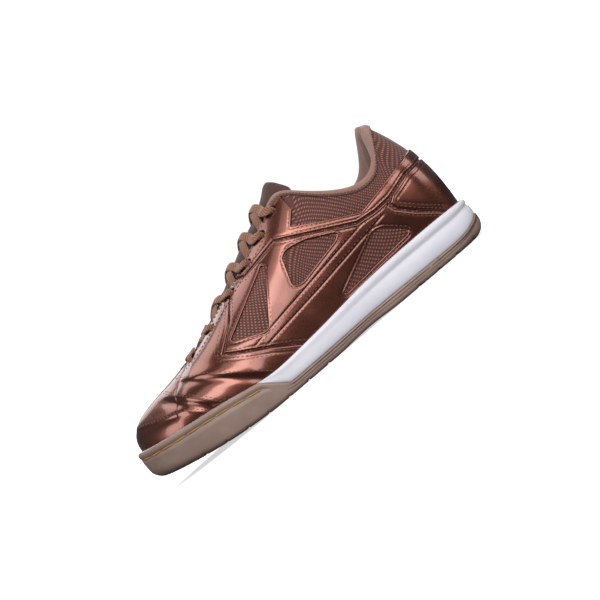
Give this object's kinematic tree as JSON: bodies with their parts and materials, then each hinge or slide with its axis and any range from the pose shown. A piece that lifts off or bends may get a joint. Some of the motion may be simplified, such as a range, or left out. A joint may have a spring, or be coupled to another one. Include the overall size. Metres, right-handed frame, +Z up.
{
  "type": "indoor soccer shoe",
  "caption": "Low-cut indoor soccer shoe for the left foot: glossy metallic panels over a mesh upper, flat laces, padded collar, foam midsole and a rubber outsole that wraps up over the toe",
  "frame": {"origin": "middle of the bounding box in plan, on the floor under the sole", "axes": "+X to the toe, +Y to the outer (lateral) side of the left foot, +Z up"},
  "size_m": [0.29, 0.1022, 0.1246],
  "materials": {
    "gum_rubber": "matte moulded rubber",
    "midsole_foam": "satin moulded foam",
    "sockliner": "brushed textile",
    "mesh_textile": "dotted mesh",
    "metallic_leather": "high-gloss metallic coating",
    "collar_textile": "woven lining",
    "tongue_textile": "padded mesh",
    "lace_webbing": "flat woven webbing"
  },
  "bodies": {
    "root": {"outsole": "gum_rubber", "midsole": "midsole_foam", "insole": "sockliner", "upper": "mesh_textile", "heel_counter": "metallic_leather", "vamp": "metallic_leather", "collar_band_lateral": "metallic_leather", "collar_band_medial": "metallic_leather", "quarter_lateral": "metallic_leather", "quarter_medial": "metallic_leather", "collar_pad": "collar_textile", "tongue": "tongue_textile", "lace_1": "lace_webbing", "lace_2": "lace_webbing", "lace_3": "lace_webbing", "lace_4": "lace_webbing", "lace_5": "lace_webbing", "lace_6": "lace_webbing"}
  },
  "joints": []
}
